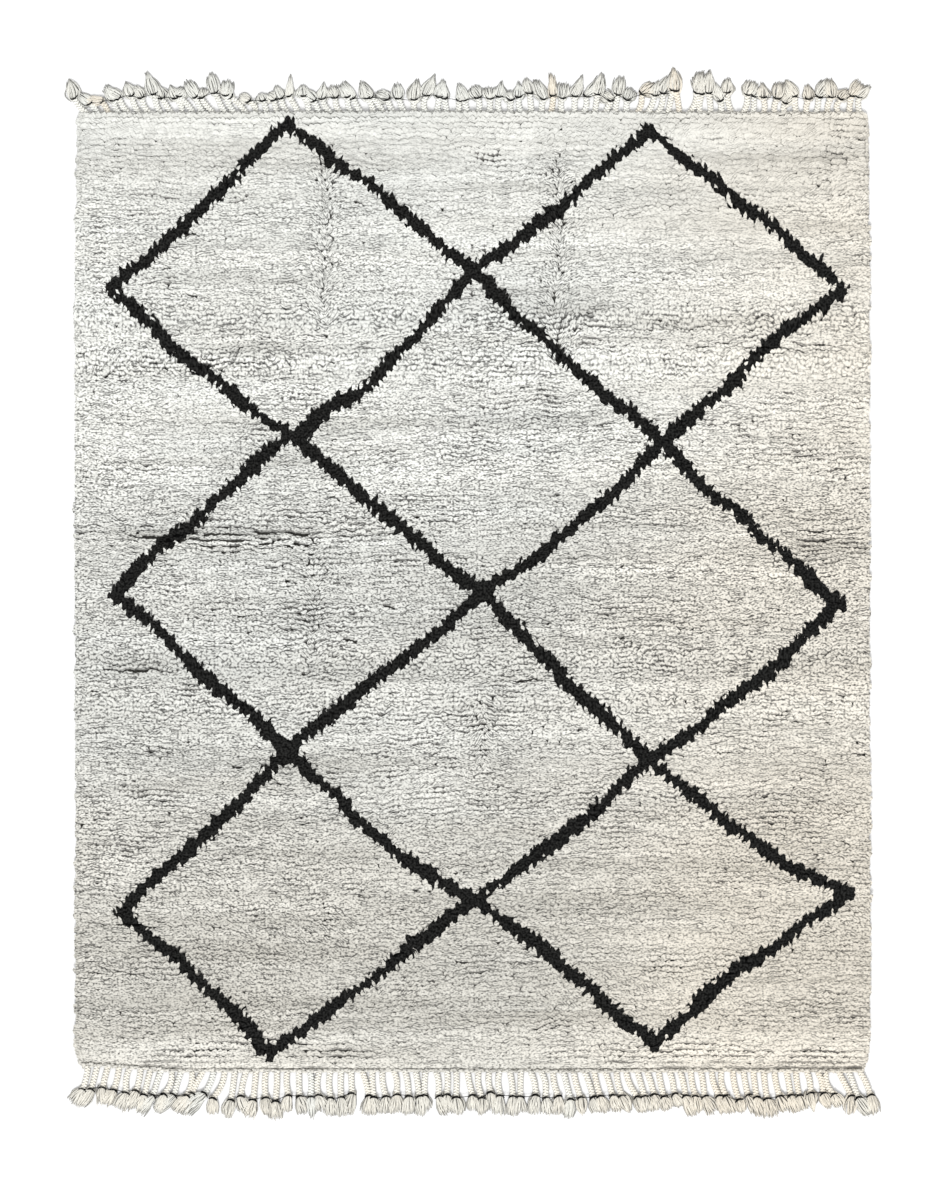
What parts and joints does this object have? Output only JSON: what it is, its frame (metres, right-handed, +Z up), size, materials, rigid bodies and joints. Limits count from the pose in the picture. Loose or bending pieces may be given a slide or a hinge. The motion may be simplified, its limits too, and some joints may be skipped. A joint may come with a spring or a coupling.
{
  "type": "shag rug",
  "caption": "Rectangular hand-knotted wool shag rug, lying flat, with plaited and tied warp fringe along both short ends.",
  "frame": {"origin": "middle of the rug on the floor that it lies on", "axes": "+X across the rug's width, +Y along its length towards the end with the uneven fringe, +Z up out of the pile"},
  "size_m": [2.5836, 3.2952, 0.0287],
  "materials": {
    "cream_wool": "long, matte wool pile",
    "warp_yarn": "plaited matte wool warp",
    "black_wool": "black matte wool of the lattice and the ties"
  },
  "bodies": {
    "root": {"pile_body": "cream_wool", "fringe_near": "warp_yarn", "fringe_far": "warp_yarn"}
  },
  "joints": []
}
